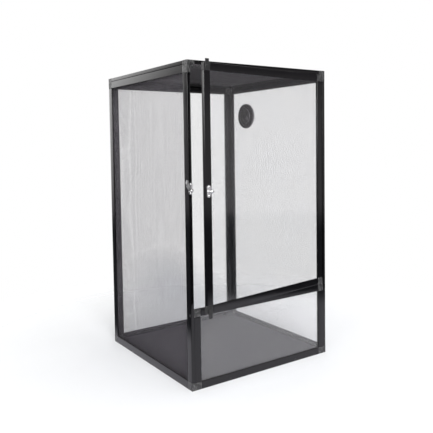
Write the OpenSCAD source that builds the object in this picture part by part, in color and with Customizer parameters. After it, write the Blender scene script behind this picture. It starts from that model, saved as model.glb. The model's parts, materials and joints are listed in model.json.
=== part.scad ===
// Tall mesh reptile cage: six framed panels, a clear pivot-hung door,
// a clear panel below it, a swing-hook clasp and a round cable port.
// The origin is on the ground under the middle of the cage.
// The front faces -Y, and the door is drawn standing ajar.

/* [Cage] */
// Width over the two side panels
cage_w = 450; // [360:5:700]
// Depth from the front face to the back face
cage_d = 450; // [360:5:700]
// Height over the top panel
cage_h = 800; // [700:5:1200]
// Height of the fixed panel under the door
lower_h = 199.5; // [120:0.5:300]

/* [Frame bars] */
// Width of a bar in the side, back and top panels
bar_w = 20; // [18:0.5:24]
// Width of a bar in the door and the lower front panel
front_bar_w = 18.5; // [17:0.5:22]
// Thickness of the upright panels and the door
panel_t = 9; // [8.5:0.5:11]
// Thickness of the top panel
top_t = 10; // [9:0.5:12]
// Wall of a hollow bar
bar_wall = 1.6; // [1.2:0.1:2]
// Width of the rebate that holds a sheet
rebate_w = 6; // [5:0.5:6.5]
// Thickness of the lip on the outer side of a sheet
lip_t = 3.5; // [2.5:0.5:4]
// Length of a corner piece's legs inside the bars
leg_l = 26; // [15:1:40]
// Clearance round a leg in its bar
leg_clear = 0.15; // [0.05:0.05:0.3]

/* [Sheets] */
// Thickness of the woven wire mesh
mesh_t = 0.5; // [0.4:0.1:1]
// Pitch of the openings that stand for the weave of a mesh
net_pitch = 63; // [40:1:100]
// Width of a mesh between two openings
net_bar = 4; // [2:0.5:8]
// Thickness of the clear sheets
glazing_t = 2; // [1.5:0.5:3]
// Gap between the edge of a sheet and the end of its rebate
sheet_gap = 0.5; // [0.2:0.1:1]
// Width of the bead that holds a sheet in its rebate
bead_w = 4; // [3:0.5:4.5]
// Gap between the ends of two beads
bead_gap = 0.2; // [0.1:0.1:0.5]
// Thickness of the floor board
floor_t = 7; // [6:0.5:10]
// Gap round the floor board
floor_gap = 0.5; // [0.2:0.1:1]

/* [Screws] */
// Shank diameter of an assembly screw
screw_d = 3.4; // [3:0.1:3.8]
// Head diameter of an assembly screw
screw_head_d = 6.6; // [5.8:0.1:7]
// Length of an assembly screw
screw_l = 20; // [16:0.5:21]
// Clearance round an assembly screw
screw_clear = 0.1; // [0.05:0.05:0.2]
// Distance of a joining screw from the end of the panel that it joins
screw_inset = 6.5; // [5:0.5:8]
// Distance of the lower panel's upper screws from its top
mid_screw_drop = 13; // [12.5:0.5:16]
// Distance of a top panel screw from the front or back face
top_screw_inset = 13; // [11:0.5:13]
// Distance of a floor screw from the middle of its bar
floor_screw_off = 110; // [60:5:120]
// Width of a blade of the cross in a screw head
cross_w = 0.9; // [0.6:0.1:1.2]
// Depth of the cross in a screw head
cross_depth = 0.9; // [0.5:0.1:1.2]

/* [Door] */
// Angle of the door from closed
door_ajar = 6.9; // [0:0.1:30]
// Gap between the door's free edge and the left panel
free_gap = 1.5; // [1:0.1:3]
// Gap above and below the door
door_gap = 1.2; // [0.8:0.1:2]
// Room for the door's hinge corner as it turns
swing_clear = 0.3; // [0.2:0.1:1]
// Gap between a stop tab and the rail that it stops on
stop_gap = 0.3; // [0.2:0.1:0.6]
// Diameter of a hinge pin
pin_d = 3.6; // [3:0.1:4]
// Distance of the hinge pins from the door's hinge edge
pin_inset = 3.5; // [3:0.1:5]
// Depth of a hinge pin in the door
pin_in_door = 9; // [6:0.5:11]
// Depth of the lower hinge pin in the panel under the door
pin_in_lower = 8; // [5:0.5:9]
// Running clearance round a hinge pin
pin_clear = 0.1; // [0.05:0.01:0.1]
// Clearance round a pin or rivet where it is held fast
fast_clear = 0.02; // [0.01:0.01:0.05]
// Diameter of a hinge washer
washer_d = 8; // [6:0.5:8.5]
// Clearance over a hinge washer
washer_clear = 0.2; // [0.1:0.1:0.4]

/* [Stop tabs] */
// Width of a stop tab
tab_w = 11; // [8:0.5:14]
// Thickness of a stop tab
tab_t = 1.6; // [1:0.1:2.5]
// Length of a stop tab over the door
tab_hold = 14; // [10:0.5:16]
// Length of the upper stop tab past the door
top_tab_reach = 8.5; // [6:0.5:9]
// Length of the lower stop tab past the door
low_tab_reach = 12; // [6:0.5:14]

/* [Clasp] */
// Height of the clasp's middle over the ground
clasp_z = 490; // [360:5:640]
// Length of a clasp plate
clasp_plate_l = 29; // [26:1:40]
// Width of the plate on the left panel
hook_plate_w = 10; // [8:0.5:10.5]
// Width of the plate on the door
stud_plate_w = 12; // [9:0.5:14]
// Distance of the middle of the hook's plate above the hook's pivot
hook_plate_rise = 4.5; // [0:0.5:5]
// Thickness of a clasp plate
clasp_plate_t = 1.5; // [1:0.1:2]
// Distance between a clasp plate's two screws
clasp_screw_span = 21; // [18:0.5:23]
// Shank diameter of a clasp screw
clasp_screw_d = 2.4; // [2:0.1:2.8]
// Head diameter of a clasp screw
clasp_screw_head_d = 4.8; // [4:0.1:5.5]
// Head height of a clasp screw
clasp_screw_head_h = 1.4; // [1:0.1:1.8]
// Length of a clasp screw under its head
clasp_screw_l = 6; // [4:0.5:7]
// Diameter of the boss under the hook
boss_d = 7; // [6:0.5:8]
// Height of the boss under the hook
boss_h = 3; // [2.5:0.1:4]
// Diameter of the hook's pivot rivet
rivet_d = 3; // [2.5:0.1:3.5]
// Head diameter of the pivot rivet
rivet_head_d = 6.4; // [5.5:0.1:7]
// Head height of the pivot rivet
rivet_head_h = 1.4; // [1:0.1:2]
// Clearance of the hook on its rivet
hook_clear = 0.1; // [0.05:0.01:0.1]
// Thickness of the hook
hook_t = 2.2; // [1.6:0.1:3]
// Distance from the hook's pivot to its finger tip
hook_l = 26; // [24:0.5:30]
// Rise of the hook's arch
hook_rise = 5; // [4.5:0.1:6]
// Width of the hook's band
hook_band = 5.5; // [4.5:0.1:6]
// Radius of the hook's eye
hook_eye_r = 4.4; // [4:0.1:5]
// Radius of the hook's finger tip
hook_tip_r = 3; // [2.5:0.1:3.5]
// Radius of the nose that keeps the stud in the hook
hook_nose_r = 2.6; // [2:0.1:3]
// Angle of the hook from latched, as drawn
hook_raised = 118; // [0:1:240]
// Diameter of the stud's neck
stud_neck_d = 3; // [2.5:0.1:3.5]
// Length of the stud's neck in front of its plate
stud_neck_l = 8.6; // [6:0.1:9]
// Diameter of the stud's head
stud_head_d = 9.6; // [6:0.1:10]
// Length of the stud's head
stud_head_l = 7; // [4:0.1:7]
// Clearance between the latched hook and the stud
stud_clear = 0.4; // [0.3:0.1:0.6]

/* [Cable port] */
// Distance of the port from the back face
port_back = 91; // [75:1:165]
// Distance of the port below the top of the right panel
port_drop = 98; // [70:5:160]
// Diameter of the port's flange
port_d = 80; // [72:1:90]
// Diameter of the port's collar
port_collar_d = 66; // [60:1:68]
// Thickness of the port's flange and of its clamp ring
port_flange_t = 2.8; // [2:0.1:3]
// Wall of the port's collar
port_wall = 2.6; // [2:0.1:4]
// Thickness of the port's outer web
port_web_t = 2.4; // [1.5:0.1:2.5]
// Clearance round the collar in the mesh and in the clamp ring
port_clear = 0.3; // [0.2:0.1:0.5]
// Clearance round and behind the turning cap
cap_clear = 0.4; // [0.3:0.1:0.6]
// Thickness of the turning cap
cap_t = 2.2; // [1.5:0.1:2.5]
// Diameter of the turning cap's shaft
cap_shaft_d = 8; // [6:0.5:10]
// Running clearance round the cap's shaft
cap_shaft_clear = 0.1; // [0.05:0.01:0.1]
// Diameter of a cable hole
cable_hole_d = 12; // [8:0.5:14]
// Distance of a cable hole from the middle of the port
cable_hole_off = 16; // [13:0.5:18]
// Angle of the cap's cable hole below the horizontal, as drawn
cap_turn = 26; // [0:1:90]
// Diameter of the cap's round knob
knob_d = 48; // [47:1:56]
// Height of the cap's round knob
knob_h = 4.5; // [3:0.5:8]

/* [Hidden] */

$fn = 48;
round_fn = 96;
over = 1;
side_h = cage_h - top_t;
inner_w = cage_w - 2 * panel_t;
inner_d = cage_d - 2 * panel_t;
left_x = -cage_w / 2;
front_y = -cage_d / 2;
mid_t = panel_t / 2;

hinge_gap = sqrt(pow(pin_inset, 2) + pow(mid_t, 2)) - pin_inset + swing_clear;
door_w = inner_w - free_gap - hinge_gap;
door_h = side_h - lower_h - 2 * door_gap;
door_x = -inner_w / 2 + free_gap;
door_z = lower_h + door_gap;
door_y = front_y - stop_gap;
hinge_x = inner_w / 2 - hinge_gap - pin_inset;
hinge_y = door_y + mid_t;

screw_head_h = (screw_head_d - screw_d) / 2;
floor_screw_z = floor_t / 2;
low_screw_z = screw_inset;
high_screw_z = side_h - screw_inset;
mid_screw_z = lower_h - mid_screw_drop;
join_y = cage_d / 2 - mid_t;
half_screw_z = side_h / 2;
top_screw_x = cage_w / 2 - mid_t;
top_screw_y = cage_d / 2 - top_screw_inset;

hook_x = left_x + mid_t;
free_x = door_x + front_bar_w / 2;
hook_back_y = front_y - clasp_plate_t - boss_h - hook_clear;
hook_reach = free_x - hook_x;
hook_arch_r = (pow(hook_l / 2, 2) + pow(hook_rise, 2)) / (2 * hook_rise);
hook_arch_z = hook_rise - hook_arch_r;
hook_half_angle = asin(hook_l / 2 / hook_arch_r);

port_y = cage_d / 2 - port_back;
port_z = side_h - port_drop;
port_bore_d = port_collar_d - 2 * port_wall;
mesh_inner_x = cage_w / 2 - lip_t - mesh_t;
mesh_outer_x = cage_w / 2 - lip_t;
port_face_x = mesh_inner_x - port_flange_t;
port_end_x = mesh_outer_x + port_flange_t;
cap_back_x = port_end_x - port_web_t - cap_clear;

frame_black = [0.07, 0.07, 0.075];
corner_grey = [0.20, 0.20, 0.21];
mesh_grey = [0.25, 0.25, 0.26];
bead_black = [0.05, 0.05, 0.05];
clear_tint = [0.85, 0.88, 0.9, 0.35];
board_grey = [0.24, 0.24, 0.26];
chrome = [0.8, 0.8, 0.82];
port_black = [0.1, 0.1, 0.1];

// Panel parts in their own frame: X across, Y up, Z from the outer face inwards

// Hollow bar along X with its rebate on the +Y edge of the inner face
module bar(len, w, t) {
    core_w = w - rebate_w - 2 * bar_wall;
    difference() {
        cube([len, w, t]);
        translate([-over, w - rebate_w, lip_t]) cube([len + 2 * over, rebate_w + over, t]);
        translate([-over, bar_wall, bar_wall]) cube([len + 2 * over, core_w, t - 2 * bar_wall]);
    }
}

module bottom_bar(w, h, b, t) {
    translate([b, 0, 0]) bar(w - 2 * b, b, t);
}

module top_bar(w, h, b, t) {
    translate([w - b, h, 0]) rotate([0, 0, 180]) bar(w - 2 * b, b, t);
}

module left_bar(w, h, b, t) {
    translate([0, h - b, 0]) rotate([0, 0, -90]) bar(h - 2 * b, b, t);
}

module right_bar(w, h, b, t) {
    translate([w, b, 0]) rotate([0, 0, 90]) bar(h - 2 * b, b, t);
}

// Square corner piece with a leg into each of its two bars
module corner(b, t) {
    leg_w = b - rebate_w - 2 * bar_wall - 2 * leg_clear;
    leg_t = t - 2 * bar_wall - 2 * leg_clear;
    leg_at = bar_wall + leg_clear;
    difference() {
        cube([b, b, t]);
        translate([b - rebate_w, b - rebate_w, lip_t]) cube([rebate_w + over, rebate_w + over, t]);
    }
    translate([b - over, leg_at, leg_at]) cube([leg_l + over, leg_w, leg_t]);
    translate([leg_at, b - over, leg_at]) cube([leg_w, leg_l + over, leg_t]);
}

module left_corner_pair(w, h, b, t) {
    corner(b, t);
    translate([0, h, 0]) rotate([0, 0, -90]) corner(b, t);
}

module right_corner_pair(w, h, b, t) {
    translate([w, 0, 0]) rotate([0, 0, 90]) corner(b, t);
    translate([w, h, 0]) rotate([0, 0, 180]) corner(b, t);
}

module four_corners(w, h, b, t) {
    left_corner_pair(w, h, b, t);
    right_corner_pair(w, h, b, t);
}

module sheet(w, h, b, sheet_t) {
    edge = b - rebate_w + sheet_gap;
    translate([edge, edge, lip_t]) cube([w - 2 * edge, h - 2 * edge, sheet_t]);
}

// Mesh sheet with a coarse grid of openings that stands for its weave
module net(w, h, b) {
    cols = round((w - 2 * b) / net_pitch);
    rows = round((h - 2 * b) / net_pitch);
    step_x = (w - 2 * b) / cols;
    step_y = (h - 2 * b) / rows;
    difference() {
        sheet(w, h, b, mesh_t);
        for (i = [0 : cols - 1], j = [0 : rows - 1])
            translate([b + i * step_x + net_bar / 2, b + j * step_y + net_bar / 2, lip_t - over])
                cube([step_x - net_bar, step_y - net_bar, mesh_t + 2 * over]);
    }
}

// Four beads that press a sheet against the lips
module beads(w, h, b, t, sheet_t) {
    edge = b - rebate_w;
    bead_t = t - lip_t - sheet_t;
    side_at = edge + bead_w + bead_gap;
    translate([0, 0, lip_t + sheet_t]) {
        for (y = [edge, h - edge - bead_w])
            translate([edge, y, 0]) cube([w - 2 * edge, bead_w, bead_t]);
        for (x = [edge, w - edge - bead_w])
            translate([x, side_at, 0]) cube([bead_w, h - 2 * side_at, bead_t]);
    }
}

// Places of the panels

module at_left() {
    translate([left_x, front_y, 0]) rotate([90, 0, 90]) children();
}

module at_right() {
    mirror([1, 0, 0]) at_left() children();
}

module at_back() {
    translate([-inner_w / 2, cage_d / 2, 0]) rotate([90, 0, 0]) children();
}

module at_lower() {
    mirror([0, 1, 0]) at_back() children();
}

module at_top() {
    translate([left_x, cage_d / 2, cage_h]) rotate([180, 0, 0]) children();
}

// Turns what is drawn closed to where the door stands ajar
module with_door() {
    translate([hinge_x, hinge_y, 0]) rotate([0, 0, door_ajar]) translate([-hinge_x, -hinge_y, 0]) children();
}

module at_door() {
    with_door() translate([door_x, door_y, door_z]) mirror([0, 1, 0]) rotate([90, 0, 0]) children();
}

// Screws

// Countersunk screw along +Z with its head flush at the origin
module flush_screw() {
    difference() {
        screw_bore(0);
        for (turn = [0, 90])
            rotate([0, 0, turn])
                translate([-screw_d / 2, -cross_w / 2, -over]) cube([screw_d, cross_w, cross_depth + over]);
    }
}

module screw_bore(clear) {
    cylinder(h = screw_l + clear, d = screw_d + 2 * clear);
    cylinder(h = screw_head_h, d1 = screw_head_d + 2 * clear, d2 = screw_d + 2 * clear);
}

// Screws through the left panel into the panels that meet it
module left_screw_places() {
    for (p = [
        [-join_y, low_screw_z], [-join_y, mid_screw_z],
        [join_y, low_screw_z], [join_y, half_screw_z], [join_y, high_screw_z],
        [-floor_screw_off, floor_screw_z], [floor_screw_off, floor_screw_z]
    ])
        translate([left_x, p[0], p[1]]) rotate([0, 90, 0]) children();
}

module side_screw_places() {
    left_screw_places() children();
    mirror([1, 0, 0]) left_screw_places() children();
}

// Screws through the lower front and back bars into the floor board
module front_screw_places() {
    for (x = [-floor_screw_off, floor_screw_off])
        translate([x, front_y, floor_screw_z]) rotate([-90, 0, 0]) children();
}

module back_screw_places() {
    mirror([0, 1, 0]) front_screw_places() children();
}

module top_screw_places() {
    for (x = [-top_screw_x, top_screw_x], y = [-top_screw_y, top_screw_y])
        translate([x, y, cage_h]) rotate([180, 0, 0]) children();
}

module side_bores() {
    side_screw_places() screw_bore(screw_clear);
}

module top_bores() {
    top_screw_places() screw_bore(screw_clear);
}

module front_bores() {
    front_screw_places() screw_bore(screw_clear);
}

module back_bores() {
    back_screw_places() screw_bore(screw_clear);
}

module assembly_screws() {
    color(frame_black) {
        side_screw_places() flush_screw();
        front_screw_places() flush_screw();
        back_screw_places() flush_screw();
        top_screw_places() flush_screw();
    }
}

// Top panel

module top_rail_front() {
    color(frame_black) at_top() top_bar(cage_w, cage_d, bar_w, top_t);
}

module top_rail_back() {
    color(frame_black) at_top() bottom_bar(cage_w, cage_d, bar_w, top_t);
}

module top_rail_left() {
    color(frame_black) at_top() left_bar(cage_w, cage_d, bar_w, top_t);
}

module top_rail_right() {
    color(frame_black) at_top() right_bar(cage_w, cage_d, bar_w, top_t);
}

module top_corners() {
    color(corner_grey) difference() {
        at_top() four_corners(cage_w, cage_d, bar_w, top_t);
        top_bores();
        translate([hinge_x, hinge_y, side_h - over]) cylinder(h = top_t, d = pin_d + 2 * fast_clear);
    }
}

module top_mesh() {
    color(mesh_grey) at_top() net(cage_w, cage_d, bar_w);
}

module top_beads() {
    color(bead_black) at_top() beads(cage_w, cage_d, bar_w, top_t, mesh_t);
}

// Left panel

module hook_screw_places() {
    mid_z = clasp_z + hook_plate_rise;
    for (z = [mid_z - clasp_screw_span / 2, mid_z + clasp_screw_span / 2])
        translate([hook_x, front_y - clasp_plate_t, z]) rotate([-90, 0, 0]) children();
}

module clasp_screw_bore() {
    translate([0, 0, -over]) cylinder(h = clasp_screw_l + 2 * over, d = clasp_screw_d + 2 * screw_clear);
}

module left_stile_front() {
    color(frame_black) difference() {
        at_left() left_bar(cage_d, side_h, bar_w, panel_t);
        side_bores();
        hook_screw_places() clasp_screw_bore();
    }
}

module left_stile_back() {
    color(frame_black) difference() {
        at_left() right_bar(cage_d, side_h, bar_w, panel_t);
        side_bores();
    }
}

module left_rail_top() {
    color(frame_black) at_left() top_bar(cage_d, side_h, bar_w, panel_t);
}

module left_rail_bottom() {
    color(frame_black) difference() {
        at_left() bottom_bar(cage_d, side_h, bar_w, panel_t);
        side_bores();
    }
}

module left_corners() {
    color(corner_grey) difference() {
        at_left() four_corners(cage_d, side_h, bar_w, panel_t);
        side_bores();
        top_bores();
    }
}

module left_mesh() {
    color(mesh_grey) at_left() net(cage_d, side_h, bar_w);
}

module left_beads() {
    color(bead_black) at_left() beads(cage_d, side_h, bar_w, panel_t, mesh_t);
}

// Right panel

module right_stile_front() {
    color(frame_black) difference() {
        at_right() left_bar(cage_d, side_h, bar_w, panel_t);
        side_bores();
    }
}

module right_stile_back() {
    color(frame_black) difference() {
        at_right() right_bar(cage_d, side_h, bar_w, panel_t);
        side_bores();
    }
}

module right_rail_top() {
    color(frame_black) at_right() top_bar(cage_d, side_h, bar_w, panel_t);
}

module right_rail_bottom() {
    color(frame_black) difference() {
        at_right() bottom_bar(cage_d, side_h, bar_w, panel_t);
        side_bores();
    }
}

module right_corners() {
    color(corner_grey) difference() {
        at_right() four_corners(cage_d, side_h, bar_w, panel_t);
        side_bores();
        top_bores();
    }
}

module right_mesh() {
    color(mesh_grey) difference() {
        union() {
            at_right() net(cage_d, side_h, bar_w);
            at_port(mesh_inner_x) cylinder(h = mesh_t, d = port_d, $fn = round_fn);
        }
        at_port(mesh_inner_x - over) cylinder(h = mesh_t + 2 * over, d = port_collar_d + 2 * port_clear);
    }
}

module right_beads() {
    color(bead_black) at_right() beads(cage_d, side_h, bar_w, panel_t, mesh_t);
}

// Back panel

module back_stile_left() {
    color(frame_black) difference() {
        at_back() left_bar(inner_w, side_h, bar_w, panel_t);
        side_bores();
    }
}

module back_stile_right() {
    color(frame_black) difference() {
        at_back() right_bar(inner_w, side_h, bar_w, panel_t);
        side_bores();
    }
}

module back_rail_top() {
    color(frame_black) at_back() top_bar(inner_w, side_h, bar_w, panel_t);
}

module back_rail_bottom() {
    color(frame_black) difference() {
        at_back() bottom_bar(inner_w, side_h, bar_w, panel_t);
        back_bores();
    }
}

module back_corners() {
    color(corner_grey) difference() {
        at_back() four_corners(inner_w, side_h, bar_w, panel_t);
        side_bores();
    }
}

module back_mesh() {
    color(mesh_grey) at_back() net(inner_w, side_h, bar_w);
}

module back_beads() {
    color(bead_black) at_back() beads(inner_w, side_h, bar_w, panel_t, mesh_t);
}

// Lower front panel

module lower_stile_left() {
    color(frame_black) at_lower() left_bar(inner_w, lower_h, front_bar_w, panel_t);
}

module lower_stile_right() {
    color(frame_black) at_lower() right_bar(inner_w, lower_h, front_bar_w, panel_t);
}

module lower_rail_top() {
    color(frame_black) at_lower() top_bar(inner_w, lower_h, front_bar_w, panel_t);
}

module lower_rail_bottom() {
    color(frame_black) difference() {
        at_lower() bottom_bar(inner_w, lower_h, front_bar_w, panel_t);
        front_bores();
    }
}

module lower_corners() {
    color(corner_grey) difference() {
        at_lower() four_corners(inner_w, lower_h, front_bar_w, panel_t);
        side_bores();
        translate([hinge_x, hinge_y, lower_h - pin_in_lower])
            cylinder(h = pin_in_lower + over, d = pin_d + 2 * fast_clear);
    }
}

module lower_glazing() {
    color(clear_tint) at_lower() sheet(inner_w, lower_h, front_bar_w, glazing_t);
}

module lower_beads() {
    color(bead_black) at_lower() beads(inner_w, lower_h, front_bar_w, panel_t, glazing_t);
}

// Floor

module floor_board() {
    floor_w = inner_w - 2 * floor_gap;
    floor_d = inner_d - 2 * floor_gap;
    color(board_grey) difference() {
        translate([-floor_w / 2, -floor_d / 2, 0]) cube([floor_w, floor_d, floor_t]);
        side_bores();
        front_bores();
        back_bores();
    }
}

// Door

module door_stile_free() {
    color(frame_black) difference() {
        at_door() left_bar(door_w, door_h, front_bar_w, panel_t);
        stud_screw_places() clasp_screw_bore();
    }
}

module door_stile_hinge() {
    color(frame_black) at_door() right_bar(door_w, door_h, front_bar_w, panel_t);
}

module door_rail_top() {
    color(frame_black) at_door() top_bar(door_w, door_h, front_bar_w, panel_t);
}

module door_rail_bottom() {
    color(frame_black) at_door() bottom_bar(door_w, door_h, front_bar_w, panel_t);
}

module tab_screw_places() {
    for (z = [door_z + tab_hold / 2, door_z + door_h - tab_hold / 2])
        with_door() translate([free_x, door_y - tab_t, z]) rotate([-90, 0, 0]) children();
}

module door_free_corners() {
    color(corner_grey) difference() {
        at_door() left_corner_pair(door_w, door_h, front_bar_w, panel_t);
        tab_screw_places() clasp_screw_bore();
    }
}

module door_hinge_corners() {
    pin_bore_d = pin_d + 2 * pin_clear;
    color(corner_grey) difference() {
        at_door() right_corner_pair(door_w, door_h, front_bar_w, panel_t);
        translate([hinge_x, hinge_y, door_z - over])
            cylinder(h = pin_in_door + over + pin_clear, d = pin_bore_d);
        translate([hinge_x, hinge_y, door_z + door_h - pin_in_door - pin_clear])
            cylinder(h = pin_in_door + over + pin_clear, d = pin_bore_d);
    }
}

module door_glazing() {
    color(clear_tint) at_door() sheet(door_w, door_h, front_bar_w, glazing_t);
}

module door_beads() {
    color(bead_black) at_door() beads(door_w, door_h, front_bar_w, panel_t, glazing_t);
}

// Flat tabs that stop the closed door on the rails above and below it
module door_stop_tabs() {
    color(corner_grey) difference() {
        union() {
            stop_tab(door_z - low_tab_reach, tab_hold + low_tab_reach);
            stop_tab(door_z + door_h - tab_hold, tab_hold + top_tab_reach);
        }
        tab_screw_places() clasp_screw_bore();
    }
}

module stop_tab(z, l) {
    with_door() translate([free_x - tab_w / 2, door_y - tab_t, z]) cube([tab_w, tab_t, l]);
}

module door_tab_screws() {
    color(frame_black) tab_screw_places() clasp_screw();
}

module hinge_pins() {
    color(chrome) {
        translate([hinge_x, hinge_y, lower_h - pin_in_lower])
            cylinder(h = pin_in_lower + door_gap + pin_in_door, d = pin_d);
        translate([hinge_x, hinge_y, door_z + door_h - pin_in_door])
            cylinder(h = pin_in_door + door_gap + top_t - over, d = pin_d);
    }
}

module hinge_washers() {
    washer_t = door_gap - washer_clear;
    color(bead_black)
        for (z = [lower_h, side_h - washer_t])
            translate([hinge_x, hinge_y, z]) difference() {
                cylinder(h = washer_t, d = washer_d);
                translate([0, 0, -over]) cylinder(h = washer_t + 2 * over, d = pin_d + 2 * pin_clear);
            }
}

// Clasp

// Flat plate with round ends, centred, from Z = 0 to its thickness
module round_plate(l, w) {
    linear_extrude(clasp_plate_t) {
        square([w, l - w], center = true);
        for (y = [-(l - w) / 2, (l - w) / 2])
            translate([0, y]) circle(d = w);
    }
}

// Domed screw along +Z with the underside of its head at the origin
module clasp_screw() {
    cylinder(h = clasp_screw_l, d = clasp_screw_d);
    difference() {
        dome(clasp_screw_head_d, clasp_screw_head_h);
        for (turn = [0, 90])
            rotate([0, 0, turn])
                translate([-clasp_screw_d / 2, -cross_w / 2, -clasp_screw_head_h - over])
                    cube([clasp_screw_d, cross_w, over + cross_depth]);
    }
}

// Part of a ball under the origin, as wide as d and as high as h
module dome(d, h) {
    ball_r = (pow(d / 2, 2) + pow(h, 2)) / (2 * h);
    intersection() {
        translate([0, 0, ball_r - h]) sphere(r = ball_r);
        translate([-d / 2, -d / 2, -h - over]) cube([d, d, h + over]);
    }
}

module hook_plate() {
    color(chrome) difference() {
        translate([hook_x, front_y, clasp_z]) rotate([90, 0, 0]) {
            translate([0, hook_plate_rise, 0]) round_plate(clasp_plate_l, hook_plate_w);
            cylinder(h = clasp_plate_t + boss_h, d = boss_d);
        }
        hook_screw_places() clasp_screw_bore();
        translate([hook_x, front_y + over, clasp_z]) rotate([90, 0, 0])
            cylinder(h = clasp_plate_t + boss_h + 2 * over, d = rivet_d + 2 * fast_clear);
    }
}

module hook_plate_screws() {
    color(chrome) hook_screw_places() clasp_screw();
}

// Outline of the latched hook: an arch from its eye to its finger tip
module hook_outline() {
    difference() {
        union() {
            circle(r = hook_eye_r);
            hook_band();
            translate([hook_l, 0]) circle(r = hook_tip_r);
            translate([hook_reach + stud_neck_d / 2 + stud_clear + hook_nose_r, hook_nose_r / 2])
                circle(r = hook_nose_r);
        }
        translate([hook_reach, 0]) circle(d = stud_neck_d + 2 * stud_clear);
        circle(d = rivet_d + 2 * hook_clear);
    }
}

module hook_band() {
    wedge_r = 2 * hook_arch_r;
    wedge_x = wedge_r * sin(hook_half_angle);
    wedge_z = wedge_r * cos(hook_half_angle);
    translate([hook_l / 2, hook_arch_z]) intersection() {
        difference() {
            circle(r = hook_arch_r + hook_band / 2, $fn = round_fn);
            circle(r = hook_arch_r - hook_band / 2, $fn = round_fn);
        }
        polygon([[0, 0], [wedge_x, wedge_z], [-wedge_x, wedge_z]]);
    }
}

module latch_hook() {
    color(chrome)
        translate([hook_x, hook_back_y, clasp_z]) rotate([0, -hook_raised, 0]) rotate([90, 0, 0])
            linear_extrude(hook_t) hook_outline();
}

module hook_rivet() {
    rivet_l = clasp_plate_t + boss_h + hook_t + 2 * hook_clear;
    color(chrome) translate([hook_x, front_y - rivet_l, clasp_z]) rotate([-90, 0, 0]) {
        cylinder(h = rivet_l, d = rivet_d);
        dome(rivet_head_d, rivet_head_h);
    }
}

module stud_screw_places() {
    for (z = [-clasp_screw_span / 2, clasp_screw_span / 2])
        with_door() translate([free_x, door_y - clasp_plate_t, clasp_z + z]) rotate([-90, 0, 0]) children();
}

module stud_plate() {
    color(chrome) difference() {
        with_door() translate([free_x, door_y, clasp_z]) rotate([90, 0, 0])
            round_plate(clasp_plate_l, stud_plate_w);
        stud_screw_places() clasp_screw_bore();
    }
}

module stud_plate_screws() {
    color(chrome) stud_screw_places() clasp_screw();
}

module latch_stud() {
    color(chrome) with_door() translate([free_x, door_y - clasp_plate_t, clasp_z]) rotate([90, 0, 0]) {
        cylinder(h = stud_neck_l, d = stud_neck_d);
        translate([0, 0, stud_neck_l]) rotate_extrude() stud_head_outline();
    }
}

// Half outline of the stud's round head
module stud_head_outline() {
    head_r = stud_head_d / 2;
    intersection() {
        translate([0, stud_head_l - head_r]) circle(r = head_r);
        square([head_r, stud_head_l]);
    }
    square([stud_neck_d / 2, stud_head_l / 2]);
}

// Cable port

// Turns +Z to run outwards along +X through the middle of the port
module at_port(x) {
    translate([x, port_y, port_z]) rotate([0, 90, 0]) children();
}

// A cable hole's place, at an angle below the horizontal towards the front
module cable_hole(turn, h) {
    rotate([0, 0, turn]) translate([0, -cable_hole_off, -over]) cylinder(h = h + 2 * over, d = cable_hole_d);
}

module port_body() {
    body_l = port_end_x - port_face_x;
    color(port_black) at_port(port_face_x) difference() {
        union() {
            cylinder(h = port_flange_t, d = port_d, $fn = round_fn);
            cylinder(h = body_l, d = port_collar_d, $fn = round_fn);
        }
        translate([0, 0, -over]) cylinder(h = body_l - port_web_t + over, d = port_bore_d, $fn = round_fn);
        cylinder(h = body_l + over, d = cap_shaft_d + 2 * cap_shaft_clear);
        cable_hole(cap_turn + 180, body_l);
    }
}

module port_clamp_ring() {
    color(port_black) at_port(mesh_outer_x) difference() {
        cylinder(h = port_flange_t, d = port_d, $fn = round_fn);
        translate([0, 0, -over])
            cylinder(h = port_flange_t + 2 * over, d = port_collar_d + 2 * port_clear, $fn = round_fn);
    }
}

module port_cap() {
    shaft_l = cap_clear + port_web_t;
    cap_l = cap_t + knob_h;
    color(port_black) at_port(cap_back_x) rotate([0, 0, cap_turn]) {
        difference() {
            union() {
                translate([0, 0, -cap_t]) cylinder(h = cap_t, d = port_bore_d - 2 * cap_clear, $fn = round_fn);
                translate([0, 0, -cap_l]) cylinder(h = cap_l, d = knob_d, $fn = round_fn);
            }
            translate([0, 0, -cap_l]) cable_hole(0, cap_l);
        }
        translate([0, 0, -over]) cylinder(h = shaft_l + over, d = cap_shaft_d);
    }
}

top_rail_front();
top_rail_back();
top_rail_left();
top_rail_right();
top_corners();
top_mesh();
top_beads();
left_stile_front();
left_stile_back();
left_rail_top();
left_rail_bottom();
left_corners();
left_mesh();
left_beads();
right_stile_front();
right_stile_back();
right_rail_top();
right_rail_bottom();
right_corners();
right_mesh();
right_beads();
back_stile_left();
back_stile_right();
back_rail_top();
back_rail_bottom();
back_corners();
back_mesh();
back_beads();
lower_stile_left();
lower_stile_right();
lower_rail_top();
lower_rail_bottom();
lower_corners();
lower_glazing();
lower_beads();
door_stile_free();
door_stile_hinge();
door_rail_top();
door_rail_bottom();
door_free_corners();
door_hinge_corners();
door_glazing();
door_beads();
door_stop_tabs();
door_tab_screws();
floor_board();
assembly_screws();
hinge_pins();
hinge_washers();
hook_plate();
hook_plate_screws();
latch_hook();
hook_rivet();
stud_plate();
stud_plate_screws();
latch_stud();
port_body();
port_clamp_ring();
port_cap();
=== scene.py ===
import json
import math

import bpy
from mathutils import Matrix, Vector


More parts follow.
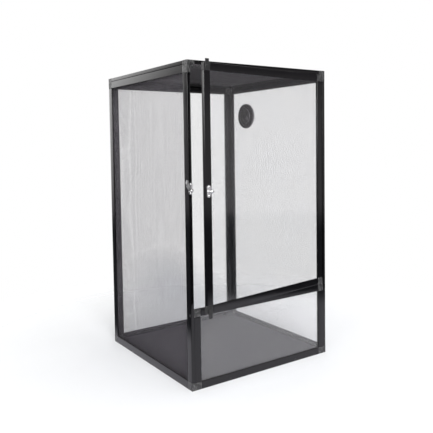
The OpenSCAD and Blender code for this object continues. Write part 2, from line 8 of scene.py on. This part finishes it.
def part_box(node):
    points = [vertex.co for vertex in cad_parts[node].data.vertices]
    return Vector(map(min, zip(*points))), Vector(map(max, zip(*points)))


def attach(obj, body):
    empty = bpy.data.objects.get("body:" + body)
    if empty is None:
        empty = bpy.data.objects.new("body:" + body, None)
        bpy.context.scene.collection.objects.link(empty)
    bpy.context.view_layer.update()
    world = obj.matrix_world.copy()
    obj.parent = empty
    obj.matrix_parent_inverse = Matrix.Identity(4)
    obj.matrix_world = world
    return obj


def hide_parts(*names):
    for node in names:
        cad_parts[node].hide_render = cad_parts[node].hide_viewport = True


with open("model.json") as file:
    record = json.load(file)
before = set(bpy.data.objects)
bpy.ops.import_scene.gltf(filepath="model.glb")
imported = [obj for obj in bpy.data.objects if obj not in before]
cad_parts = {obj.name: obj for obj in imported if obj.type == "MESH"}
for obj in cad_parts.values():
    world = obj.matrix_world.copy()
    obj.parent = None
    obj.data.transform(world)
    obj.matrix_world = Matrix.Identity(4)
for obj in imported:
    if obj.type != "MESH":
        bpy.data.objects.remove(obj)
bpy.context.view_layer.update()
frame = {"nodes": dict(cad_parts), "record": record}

# Everything is in metres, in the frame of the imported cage: +Z up, the door faces -Y.

# View: a camera fitted to the corners of the cage in the photo.
IMAGE_PX = 433
FOCAL_PX = 570.43
AXIS_ROW_PX = 177.55
SENSOR_MM = 36.0
CAMERA_AT = Vector((-0.93313, -1.38141, 0.59682))
CAMERA_YAW = math.radians(34.278)
CAMERA_PITCH = math.radians(3.228)
CAMERA_ROLL = math.radians(-0.826)

# Room, as lit surfaces and reflections show it. A rise is the part of a wall's height, as the
# sine of the angle above the horizon, over which it goes from its low to its high colour.
SKY_LEVEL = 0.40
BACK_SIDE = (-0.55, 0.83, 0.0)
WALL_BLEND = (-0.5, 0.5)
FRONT_WALL_LOW = (0.50, 0.48, 0.50)
FRONT_WALL_HIGH = (0.20, 0.19, 0.21)
FRONT_WALL_RISE = (0.05, 0.13)
BACK_WALL_LOW = (0.38, 0.355, 0.38)
BACK_WALL_HIGH = (0.24, 0.225, 0.23)
BACK_WALL_RISE = (0.0, 0.1)

# Windows of the room: the way to the middle, the cosines of the angles off it where the soft
# edge starts and ends, and the level.
WINDOWS = (
    ((-0.78, -0.555, 0.29), (0.950, 0.985), 12.0),
    ((-0.22, 0.96, 0.15), (0.941, 0.987), 3.2),
    ((-0.853, 0.461, 0.245), (0.945, 0.985), 6.0),
)

# Floor. Each edge, end or fade is a pair of distances over which the floor changes. White is the
# share of it, least near the cage, through which the camera sees the white backdrop.
FLOOR_R = 7.0
FLOOR_STEPS = 96
FLOOR_FADE = (2.2, 6.0)
PAPER_COLOUR = (0.93, 0.945, 0.975)
PAPER_END = (1.7, 2.6)
ROOM_FLOOR_COLOUR = (0.20, 0.20, 0.22)
WHITE_NEAR = 0.26
WHITE_EDGE = (0.30, 1.0)

# Soft shade painted on the floor behind the cage: an oval that is darkest in the middle, with its
# edge in parts of its half sizes.
SHADE_MIDDLE = (0.260, 0.706, 0.0)
SHADE_TURN = math.radians(-24.8)
SHADE_HALF = (0.235, 1.0, 1.0)
SHADE_EDGE = (0.0, 1.0)
SHADE_SHARE = 0.75
SHADE_COLOUR = (0.60, 0.62, 0.66)

# Floor in reflections.
PAPER_MIDDLE = (0.10, -0.25, 0.0)
PAPER_EDGE = (0.60, 0.74)
PAPER_GLEAM = (0.93, 0.915, 1.0)
ROOM_FLOOR_GLEAM = (0.07, 0.072, 0.085)
ROOM_FLOOR_END = (3.2, 3.9)

# Lamps: the name, the place, the aim, the size and the power in watts.
LAMPS = (
    ("overhead", (0.5, -0.4, 2.7), (0.2, 0, 0.4), (2.6, 2.6), 24),
    ("key", (-1.2, -3.7, 2.7), (0, 0, 0.3), (1.4, 1.4), 130),
    ("strip", (-2.25, -1.37, 0.95), (-0.2, -0.2, 0.65), (0.22, 0.7), 9),
)

# Wire meshes. A sway is in radians per metre along and across a wire, and a start in radians.
SIDE_WIRE_D = 0.00024
SIDE_PITCH = 0.0020
TOP_WIRE_D = 0.00025
TOP_PITCH = 0.0015
WIRE_SIDES = 6
RING_STEP = 0.10
WIRE_WANDER = 0.00022
SLOW_SWAY = (9.0, 41.0, 1.3)
QUICK_SWAY = (23.0, -67.0, 4.1)
QUICK_SHARE = 0.6
PORT_HOLE_R = 0.0334
# Painted shade on the wires of the top panel: the height over which it sets in, and the share of their
# colour that it leaves.
TOP_WIRE_SHADE_START = (0.786, 0.790)
TOP_WIRE_PAINTED_SHADE = 0.15

# Clear sheets: how clear the lower one and the door's are, and the height between the two.
LOWER_CLEAR = 0.953
DOOR_CLEAR = 0.997
CLEAR_STEP = (0.17, 0.23)
SPECK_DULL = 0.27
SPECK_EDGE = (0.735, 0.76)
SPECK_PATCH_EDGE = (0.50, 0.62)

# Cable port: its round sides are painted paler as painted light. The turn of the surface, from side
# to face, over which that painted light ends, and how pale it makes them.
PORT_SIDE = (0.4, 0.8)
PORT_SIDE_PAINTED_LIGHT = 0.16

# Corner pieces: those of the door, in front of this depth, are darker.
DOOR_CORNER_END = (-0.250, -0.235)
DOOR_CORNER_TONE = 0.70

# Rounding of edges: in the mesh (round) and in the shading alone (soft).
BAR_ROUND = 0.0011
CORNER_ROUND = 0.0009
BEAD_ROUND = 0.0013
BOARD_ROUND = 0.0008
SMALL_ROUND = 0.0003
KNOB_ROUND = 0.0008
SMALL_PIECES = ("door_stop_tabs", "hook_plate", "stud_plate", "latch_hook", "port_body", "port_clamp_ring")
ROUND_SEGMENTS = 2
FLAT_WEIGHT = 100
BAR_SOFT = 0.0016
CORNER_SOFT = 0.0020
SOFT_SAMPLES = 16
SHARP_ANGLE = math.radians(40)
WELD_REACH = 0.000002

# Less than one bounce of a light path, and more than none.
HALF_BOUNCE = 0.5

nodes = frame["nodes"]


# Camera

def make_camera():
    """The photo's view: its yaw, pitch and roll, and an axis above the middle of the picture."""
    data = bpy.data.cameras.new("camera")
    data.sensor_width = SENSOR_MM
    data.lens = FOCAL_PX * SENSOR_MM / IMAGE_PX
    data.shift_y = (AXIS_ROW_PX - IMAGE_PX / 2) / IMAGE_PX
    camera = bpy.data.objects.new("camera", data)
    bpy.context.scene.collection.objects.link(camera)
    ahead = Vector((
        math.sin(CAMERA_YAW) * math.cos(CAMERA_PITCH),
        math.cos(CAMERA_YAW) * math.cos(CAMERA_PITCH),
        -math.sin(CAMERA_PITCH),
    ))
    level_right = Vector((math.cos(CAMERA_YAW), -math.sin(CAMERA_YAW), 0))
    level_up = level_right.cross(ahead)
    cos_roll = math.cos(CAMERA_ROLL)
    sin_roll = math.sin(CAMERA_ROLL)
    right = cos_roll * level_right + sin_roll * level_up
    up = cos_roll * level_up - sin_roll * level_right
    turn = Matrix((right, up, -ahead)).transposed().to_4x4()
    camera.matrix_world = Matrix.Translation(CAMERA_AT) @ turn
    bpy.context.scene.camera = camera


# Shaders

class Nodes:
    """A node tree with short calls for the nodes that its users share."""

    def __init__(self, tree, out):
        self.tree = tree
        self.tree.nodes.clear()
        self.out = self.node(out)
        self.places = self.node("ShaderNodeTexCoord")
        self.path = self.node("ShaderNodeLightPath")

    def node(self, kind, **settings):
        made = self.tree.nodes.new(kind)
        for name, value in settings.items():
            setattr(made, name, value)
        return made

    def link(self, source, target):
        self.tree.links.new(source, target)

    def noise(self, scale, detail=3.0, rough=0.55, space="Object"):
        made = self.node("ShaderNodeTexNoise")
        made.inputs["Scale"].default_value = scale
        made.inputs["Detail"].default_value = detail
        made.inputs["Roughness"].default_value = rough
        self.link(self.places.outputs[space], made.inputs["Vector"])
        return made.outputs["Fac"]

    def along(self, axis, space="Object"):
        """One coordinate, X, Y or Z, of a place, a normal or a direction."""
        made = self.node("ShaderNodeSeparateXYZ")
        self.link(self.places.outputs[space], made.inputs["Vector"])
        return made.outputs[axis]

    def ramp(self, source, *stops):
        """A colour for each value, between stops that pair a value with a colour."""
        made = self.node("ShaderNodeValToRGB")
        marks = made.color_ramp.elements
        while len(marks) < len(stops):
            marks.new(0.5)
        for mark, (place, colour) in zip(marks, stops):
            mark.position = place
            mark.color = (*colour, 1.0)
        self.link(source, made.inputs["Fac"])
        return made.outputs["Color"]

    def span(self, source, low, high, start=0.3, end=0.7):
        """A value from low to high while the source goes from start to end."""
        made = self.node("ShaderNodeMapRange")
        made.inputs["From Min"].default_value = start
        made.inputs["From Max"].default_value = end
        made.inputs["To Min"].default_value = low
        made.inputs["To Max"].default_value = high
        self.link(source, made.inputs["Value"])
        return made.outputs["Result"]

    def math(self, operation, first, second):
        made = self.node("ShaderNodeMath", operation=operation)
        for socket, value in zip(made.inputs, (first, second)):
            if isinstance(value, (int, float)):
                socket.default_value = value
            else:
                self.link(value, socket)
        return made.outputs["Value"]

    def glow(self, kind, level=1.0, colour=(1, 1, 1)):
        """A source of light: a background of the world or an emission of a surface."""
        made = self.node(kind)
        made.inputs["Color"].default_value = (*colour, 1)
        made.inputs["Strength"].default_value = level
        return made

    def mix(self, share, first, second):
        """The first shader where the share is 0, the second where it is 1."""
        made = self.node("ShaderNodeMixShader")
        self.link(share, made.inputs["Fac"])
        self.link(first.outputs[0], made.inputs[1])
        self.link(second.outputs[0], made.inputs[2])
        return made

    def show(self, shader):
        self.link(shader.outputs[0], self.out.inputs["Surface"])

    def distance(self, place):
        """How far the surface is from a place."""
        made = self.node("ShaderNodeVectorMath", operation="DISTANCE")
        self.link(self.places.outputs["Object"], made.inputs[0])
        made.inputs[1].default_value = place
        return made.outputs["Value"]

    def off_oval(self, middle, turn, half):
        """How far the surface is from the middle of an oval, where 1 is its rim."""
        oval = self.node("ShaderNodeMapping", vector_type="TEXTURE")
        oval.inputs["Location"].default_value = middle
        oval.inputs["Rotation"].default_value = (0, 0, turn)
        oval.inputs["Scale"].default_value = half
        self.link(self.places.outputs["Object"], oval.inputs["Vector"])
        made = self.node("ShaderNodeVectorMath", operation="LENGTH")
        self.link(oval.outputs["Vector"], made.inputs[0])
        return made.outputs["Value"]

    def facing(self, way):
        """How far a direction of the world points along a given way, from -1 to 1."""
        made = self.node("ShaderNodeVectorMath", operation="DOT_PRODUCT")
        self.link(self.places.outputs["Generated"], made.inputs[0])
        made.inputs[1].default_value = way
        return made.outputs["Value"]

    def seen(self):
        """1 for what the camera sees, by itself or through the clear sheets."""
        thrown = self.math("ADD", self.path.outputs["Glossy Depth"], self.path.outputs["Diffuse Depth"])
        return self.math("LESS_THAN", thrown, HALF_BOUNCE)

    def mirrored(self):
        """1 for what a shiny surface throws back, by itself or through the clear sheets."""
        return self.math("GREATER_THAN", self.path.outputs["Glossy Depth"], HALF_BOUNCE)


class Finish(Nodes):
    """A material with one principled surface."""

    def __init__(self, name):
        self.material = bpy.data.materials.new(name)
        self.material.use_nodes = True
        super().__init__(self.material.node_tree, "ShaderNodeOutputMaterial")
        self.bsdf = self.node("ShaderNodeBsdfPrincipled")
        self.show(self.bsdf)

    def set(self, **values):
        for name, value in values.items():
            self.bsdf.inputs[name.replace("_", " ")].default_value = value

    def feed(self, name, source):
        self.link(source, self.bsdf.inputs[name])

    def soft_edge(self, radius):
        """Normals that turn smoothly over the sharp edges of a piece."""
        made = self.node("ShaderNodeBevel", samples=SOFT_SAMPLES)
        made.inputs["Radius"].default_value = radius
        return made.outputs["Normal"]

    def bump(self, height, strength, depth, normal=None):
        made = self.node("ShaderNodeBump")
        made.inputs["Strength"].default_value = strength
        made.inputs["Distance"].default_value = depth
        self.link(height, made.inputs["Height"])
        if normal:
            self.link(normal, made.inputs["Normal"])
        self.feed("Normal", made.outputs["Normal"])


def grey(level):
    return (level, level, level)


def plum(level):
    """The faintly purple black of the frame, the wires and the port."""
    return (level, level * 0.93, level * 1.05)


def frame_aluminium():
    """Satin black coating with faint drawing lines along each bar."""
    s = Finish("frame_aluminium")
    lines = s.noise(26, detail=4, space="Generated")
    cloud = s.noise(22, detail=3)
    s.feed("Base Color", s.ramp(lines, (0.32, plum(0.0006)), (0.68, plum(0.0018))))
    s.feed("Roughness", s.span(cloud, 0.09, 0.16))
    s.set(Specular_IOR_Level=0.5)
    s.bump(lines, 0.004, 0.0003, s.soft_edge(BAR_SOFT))
    return s.material


def corner_plastic():
    """Moulded grey-black plastic with a mottled skin."""
    s = Finish("corner_plastic")
    mottle = s.noise(210, detail=5, rough=0.62)
    grain = s.noise(1500, detail=2)
    tone = s.span(s.along("Y"), DOOR_CORNER_TONE, 1, *DOOR_CORNER_END)
    pale = s.math("MULTIPLY", mottle, tone)
    s.feed("Base Color", s.ramp(pale, (0.36, grey(0.012)), (0.52, grey(0.040)), (0.68, grey(0.16))))
    s.feed("Roughness", s.span(mottle, 0.55, 0.34))
    s.set(Specular_IOR_Level=0.5)
    s.bump(s.math("ADD", grain, mottle), 0.25, 0.0004, s.soft_edge(CORNER_SOFT))
    return s.material


def wire_mesh():
    """Grey-black coated wire, with painted shade that darkens the wires of the top panel."""
    s = Finish("wire_mesh")
    coat = s.noise(90, detail=3)
    # Painted shade: the wires of the top panel are darkened, standing in for the shade on their
    # undersides.
    tone = s.span(s.along("Z"), 1, TOP_WIRE_PAINTED_SHADE, *TOP_WIRE_SHADE_START)
    pale = s.math("MULTIPLY", s.span(coat, 0.7, 1), tone)
    s.feed("Base Color", s.ramp(pale, (0, grey(0)), (1, plum(0.19))))
    s.feed("Roughness", s.span(coat, 0.28, 0.42))
    s.set(Specular_IOR_Level=0.5)
    return s.material


def bead_rubber():
    """Dull black rubber with a fine tooth."""
    s = Finish("bead_rubber")
    tooth = s.noise(1300, detail=2)
    cloud = s.noise(60)
    s.feed("Base Color", s.ramp(cloud, (0.3, grey(0.008)), (0.7, grey(0.018))))
    s.feed("Roughness", s.span(cloud, 0.62, 0.80))
    s.set(Specular_IOR_Level=0.25)
    s.bump(tooth, 0.2, 0.0002)
    return s.material


def clear_sheet():
    """Clear plastic with a faint haze, rubbed places and a few specks."""
    s = Finish("clear_sheet")
    haze = s.noise(9, detail=5, rough=0.6)
    speck = s.noise(330, detail=1)
    patch = s.noise(14, detail=2)
    specks = s.math("MULTIPLY", s.span(speck, 0, 1, *SPECK_EDGE), s.span(patch, 0, 1, *SPECK_PATCH_EDGE))
    clear = s.span(s.along("Z"), LOWER_CLEAR, DOOR_CLEAR, *CLEAR_STEP)
    s.feed("Transmission Weight", s.math("SUBTRACT", clear, s.math("MULTIPLY", specks, SPECK_DULL)))
    s.feed("Base Color", s.ramp(haze, (0.3, (0.986, 0.990, 1.0)), (0.7, (0.997, 0.998, 1.0))))
    s.feed("Roughness", s.span(haze, 0.012, 0.05))
    s.set(IOR=1.50)
    return s.material


def floor_plastic():
    """Dark board with a fine leathery grain and rubbed patches."""
    s = Finish("floor_plastic")
    grain = s.noise(900, detail=3)
    rub = s.noise(7, detail=5, rough=0.6)
    s.feed("Base Color", s.ramp(rub, (0.3, (0.012, 0.0114, 0.0150)), (0.7, (0.020, 0.0188, 0.0245))))
    s.feed("Roughness", s.span(rub, 0.50, 0.66))
    s.set(Specular_IOR_Level=0.25)
    s.bump(grain, 0.1, 0.0003)
    return s.material


def chrome():
    """Bright plated metal with light smudges."""
    s = Finish("chrome")
    smudge = s.noise(160, detail=4)
    s.feed("Base Color", s.ramp(smudge, (0.3, grey(0.78)), (0.7, grey(0.92))))
    s.feed("Roughness", s.span(smudge, 0.16, 0.28))
    s.set(Metallic=0.9)
    return s.material


def black_screw():
    """Blackened steel."""
    s = Finish("black_screw")
    smudge = s.noise(240, detail=4)
    s.feed("Base Color", s.ramp(smudge, (0.3, grey(0.025)), (0.7, grey(0.06))))
    s.feed("Roughness", s.span(smudge, 0.30, 0.45))
    s.set(Metallic=0.6)
    return s.material


def washer_nylon():
    """Dull black nylon."""
    s = Finish("washer_nylon")
    cloud = s.noise(180)
    s.feed("Base Color", s.ramp(cloud, (0.3, grey(0.02)), (0.7, grey(0.04))))
    s.feed("Roughness", s.span(cloud, 0.5, 0.65))
    return s.material


def port_plastic():
    """Moulded black plastic with a spark-eroded texture, and painted light that makes its round sides
    paler.
    """
    s = Finish("port_plastic")
    grain = s.noise(1100, detail=2)
    cloud = s.noise(70, detail=4)
    # Painted light: the round sides are painted paler, standing in for the light that falls on them.
    side = s.span(s.math("ABSOLUTE", s.along("X", "Normal"), 0), 1, 0, *PORT_SIDE)
    rubbed = s.math("MULTIPLY", side, s.span(cloud, 0.7, 0.95))
    pale = s.math("ADD", rubbed, s.span(cloud, 0, 0.05))
    s.feed("Base Color", s.ramp(pale, (0, plum(0.002)), (1, plum(PORT_SIDE_PAINTED_LIGHT))))
    s.feed("Roughness", s.span(cloud, 0.28, 0.42))
    s.set(Specular_IOR_Level=0.08)
    s.bump(grain, 0.1, 0.0002)
    return s.material


FINISHES = {
    "frame_aluminium": frame_aluminium(),
    "corner_plastic": corner_plastic(),
    "wire_mesh": wire_mesh(),
    "bead_rubber": bead_rubber(),
    "clear_sheet": clear_sheet(),
    "floor_plastic": floor_plastic(),
    "chrome": chrome(),
    "black_screw": black_screw(),
    "washer_nylon": washer_nylon(),
    "port_plastic": port_plastic(),
}
SLOT_OF = {part["node"]: part["material_slot"] for part in frame["record"]["subparts"]}


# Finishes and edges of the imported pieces

def finish_node(name):
    obj = nodes[name]
    obj.material_slots[0].material = FINISHES[SLOT_OF[name]]


def round_edges(name, width):
    """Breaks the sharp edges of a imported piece, as extrusion and moulding do."""
    obj = nodes[name]
    weld = obj.modifiers.new("weld", "WELD")
    weld.merge_threshold = WELD_REACH
    edge = obj.modifiers.new("edge", "BEVEL")
    edge.width = width
    edge.segments = ROUND_SEGMENTS
    edge.limit_method = "ANGLE"
    edge.angle_limit = SHARP_ANGLE
    flow = obj.modifiers.new("flow", "WEIGHTED_NORMAL")
    flow.weight = FLAT_WEIGHT


def edge_round(name):
    """How far a piece's edges are rounded, or None where the solid's own edges stay."""
    if "rail" in name or "stile" in name:
        return BAR_ROUND
    if name.endswith("corners"):
        return CORNER_ROUND
    if name.endswith("beads"):
        return BEAD_ROUND
    if name == "floor_board":
        return BOARD_ROUND
    if name == "port_cap":
        return KNOB_ROUND
    if name in SMALL_PIECES:
        return SMALL_ROUND
    return None


for node_name in nodes:
    finish_node(node_name)
    width = edge_round(node_name)
    if width:
        round_edges(node_name, width)


# Wire meshes

def sway(along, across, waves):
    per_along, per_across, start = waves
    return math.sin(per_along * along + per_across * across + start)


def wander(along, across):
    """How far a wire strays sideways from its straight line."""
    return WIRE_WANDER * (sway(along, across, SLOW_SWAY) + QUICK_SHARE * sway(along, across, QUICK_SWAY))


def spans(low, high, across, hole):
    """The stretches of a wire from low to high, cut where it meets a round hole."""
    if hole:
        mid_along, mid_across, radius = hole
        off = across - mid_across
        if abs(off) < radius:
            half = math.sqrt(radius ** 2 - off ** 2)
            return [(low, mid_along - half), (mid_along + half, high)]
    return [(low, high)]


def add_wire(verts, faces, span, across, level, radius, axes):
    """One wire as a slim tube along axes[0], at a place across axes[1] and a level on axes[2]."""
    low, high = span
    steps = max(1, round((high - low) / RING_STEP))
    first = len(verts)
    for i in range(steps + 1):
        along = low + (high - low) * i / steps
        middle = across + wander(along, across)
        for k in range(WIRE_SIDES):
            angle = 2 * math.pi * k / WIRE_SIDES
            place = [0.0, 0.0, 0.0]
            place[axes[0]] = along
            place[axes[1]] = middle + radius * math.cos(angle)
            place[axes[2]] = level + radius * math.sin(angle)
            verts.append(place)
    for i in range(steps):
        for k in range(WIRE_SIDES):
            here = first + i * WIRE_SIDES
            turn = (k + 1) % WIRE_SIDES
            faces.append((here + k, here + turn, here + turn + WIRE_SIDES, here + k + WIRE_SIDES))
    last = first + steps * WIRE_SIDES
    faces.append([first + k for k in reversed(range(WIRE_SIDES))])
    faces.append([last + k for k in range(WIRE_SIDES)])


def make_wires(name, wire_d, pitch, hole_at=None):
    """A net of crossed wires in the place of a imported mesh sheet."""
    low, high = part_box(name)
    size = high - low
    thin = min(range(3), key=lambda axis: size[axis])
    flat = [axis for axis in range(3) if axis != thin]
    middle = (low[thin] + high[thin]) / 2
    verts = []
    faces = []
    for along, across, side in ((flat[0], flat[1], 1), (flat[1], flat[0], -1)):
        count = int(size[across] / pitch)
        start = low[across] + (size[across] - count * pitch) / 2
        hole = (hole_at[along], hole_at[across], PORT_HOLE_R) if hole_at else None
        for i in range(count + 1):
            place = start + i * pitch
            for span in spans(low[along], high[along], place, hole):
                add_wire(verts, faces, span, place, middle + side * wire_d / 2, wire_d / 2,
                         (along, across, thin))
    mesh = bpy.data.meshes.new(name + "_wires")
    mesh.from_pydata(verts, [], faces)
    mesh.polygons.foreach_set("use_smooth", [len(face) == 4 for face in faces])
    mesh.materials.append(FINISHES["wire_mesh"])
    mesh.update()
    wires = bpy.data.objects.new(name + "_wires", mesh)
    bpy.context.scene.collection.objects.link(wires)
    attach(wires, "cage")
    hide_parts(name)


port_low, port_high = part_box("port_body")
make_wires("left_mesh", SIDE_WIRE_D, SIDE_PITCH)
make_wires("right_mesh", SIDE_WIRE_D, SIDE_PITCH, (port_low + port_high) / 2)
make_wires("back_mesh", SIDE_WIRE_D, SIDE_PITCH)
make_wires("top_mesh", TOP_WIRE_D, TOP_PITCH)


# Light, floor and background

def make_world():
    """White to the camera; reflections show a room with windows."""
    world = bpy.data.worlds.new("studio")
    bpy.context.scene.world = world
    world.use_nodes = True
    s = Nodes(world.node_tree, "ShaderNodeOutputWorld")
    rise = s.along("Z", "Generated")
    walls = []
    for low, high, ends in ((FRONT_WALL_LOW, FRONT_WALL_HIGH, FRONT_WALL_RISE),
                            (BACK_WALL_LOW, BACK_WALL_HIGH, BACK_WALL_RISE)):
        wall = s.glow("ShaderNodeBackground")
        s.link(s.ramp(s.span(rise, 0, 1, *ends), (0, low), (1, high)), wall.inputs["Color"])
        walls.append(wall)
    room = s.mix(s.span(s.facing(BACK_SIDE), 0, 1, *WALL_BLEND), *walls)
    for way, edge, level in WINDOWS:
        room = s.mix(s.span(s.facing(way), 0, 1, *edge), room, s.glow("ShaderNodeBackground", level))
    lit = s.mix(s.mirrored(), s.glow("ShaderNodeBackground", SKY_LEVEL), room)
    s.show(s.mix(s.seen(), lit, s.glow("ShaderNodeBackground")))


def make_floor():
    """White paper that fades into the backdrop and shows a room's floor in reflections."""
    turns = [2 * math.pi * i / FLOOR_STEPS for i in range(FLOOR_STEPS)]
    rim = [(FLOOR_R * math.cos(turn), FLOOR_R * math.sin(turn), 0) for turn in turns]
    mesh = bpy.data.meshes.new("floor")
    mesh.from_pydata(rim, [], [list(range(FLOOR_STEPS))])
    floor = bpy.data.objects.new("floor", mesh)
    bpy.context.scene.collection.objects.link(floor)
    s = Finish("pale_floor")
    away = s.distance((0, 0, 0))
    off_paper = s.span(away, 0, 1, *PAPER_END)
    s.feed("Base Color", s.ramp(off_paper, (0, PAPER_COLOUR), (1, ROOM_FLOOR_COLOUR)))
    s.set(Roughness=0.8, Specular_IOR_Level=0.1)
    gone = s.node("ShaderNodeBsdfTransparent")
    faded = s.math("MULTIPLY", s.seen(), s.span(away, WHITE_NEAR, 1, *WHITE_EDGE))
    shade = s.span(s.off_oval(SHADE_MIDDLE, SHADE_TURN, SHADE_HALF), SHADE_SHARE, 0, *SHADE_EDGE)
    dim = s.glow("ShaderNodeEmission", colour=SHADE_COLOUR)
    shaded = s.mix(shade, s.mix(faded, s.bsdf, gone), dim)
    shown = s.mix(s.span(away, 0, 1, *FLOOR_FADE), shaded, gone)
    gleam = s.glow("ShaderNodeEmission")
    off_gleam = s.span(s.distance(PAPER_MIDDLE), 0, 1, *PAPER_EDGE)
    s.link(s.ramp(off_gleam, (0, PAPER_GLEAM), (1, ROOM_FLOOR_GLEAM)), gleam.inputs["Color"])
    thrown_back = s.mix(s.span(away, 0, 1, *ROOM_FLOOR_END), gleam, gone)
    s.show(s.mix(s.mirrored(), shown, thrown_back))
    mesh.materials.append(s.material)


def softbox(name, place, aim, size, power):
    """A rectangular soft lamp that the camera doesn't see."""
    data = bpy.data.lights.new(name, "AREA")
    data.shape = "RECTANGLE"
    data.size, data.size_y = size
    data.energy = power
    lamp = bpy.data.objects.new(name, data)
    lamp.location = place
    lamp.rotation_euler = (Vector(aim) - Vector(place)).to_track_quat("-Z", "Y").to_euler()
    lamp.visible_camera = False
    bpy.context.scene.collection.objects.link(lamp)


make_camera()
make_world()
make_floor()
for lamp_values in LAMPS:
    softbox(*lamp_values)
bpy.context.scene.view_settings.view_transform = "Standard"
